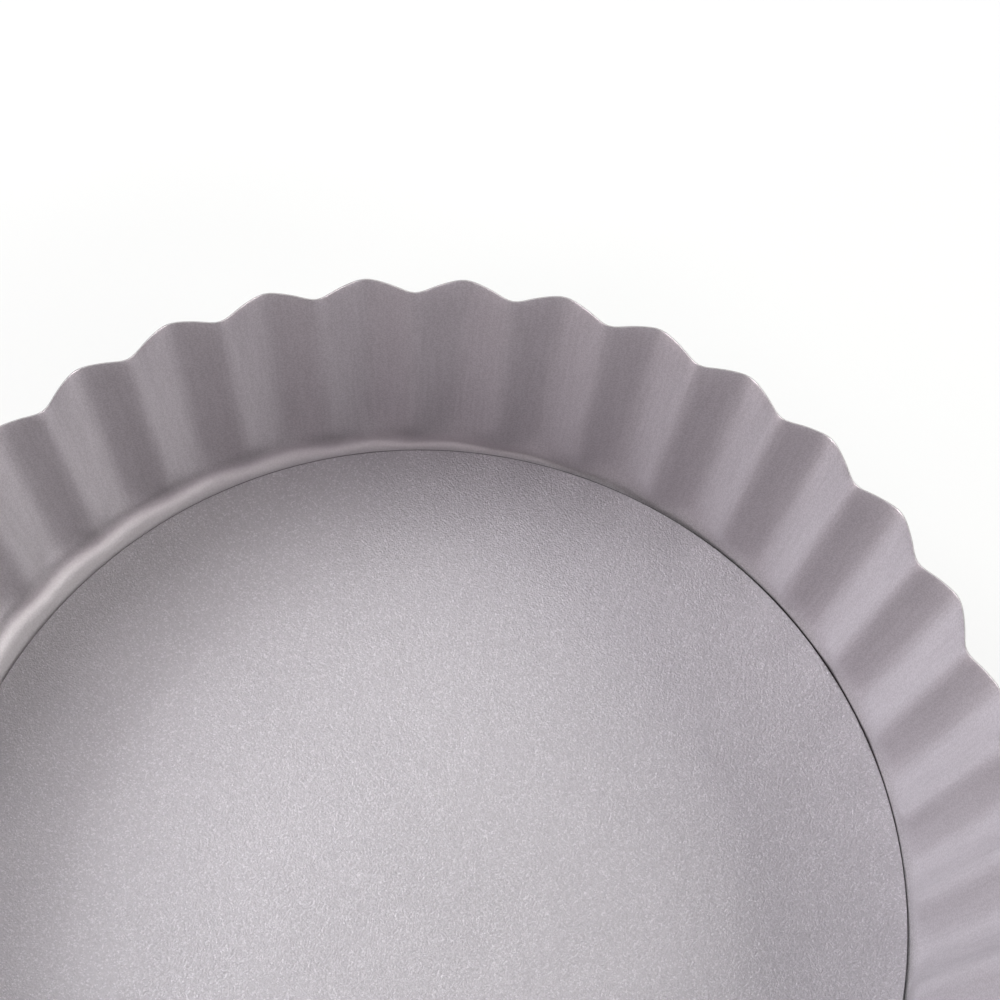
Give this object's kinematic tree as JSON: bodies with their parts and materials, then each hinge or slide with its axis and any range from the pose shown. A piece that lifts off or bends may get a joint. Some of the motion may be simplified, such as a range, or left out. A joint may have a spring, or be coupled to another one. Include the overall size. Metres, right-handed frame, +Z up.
{
  "type": "fluted tart pan",
  "caption": "Round fluted baking pan of coated sheet steel: a sloping fluted ring with a narrow inner ledge at its foot, and a flat loose base that lies on the ledge and lifts out.",
  "frame": {"origin": "middle of the underside of the ring, on the ring's axis", "axes": "+Z up out of the pan along the ring's axis; +X through the middle of a lobe of the flutes"},
  "size_m": [0.23, 0.23, 0.055],
  "materials": {
    "ring_coating": "satin metallic non-stick coating, warm grey, smooth with faint streaks down the flutes",
    "base_coating": "satin metallic non-stick coating, warm grey, with a fine sparkling grain"
  },
  "bodies": {
    "ring": {"fluted_ring": "ring_coating"},
    "base": {"loose_base": "base_coating"}
  },
  "joints": [
    {"name": "base_lift", "type": "slide", "parent": "ring", "child": "base", "axis": [0, 0, 1], "range_m": [0, 0.06]}
  ]
}
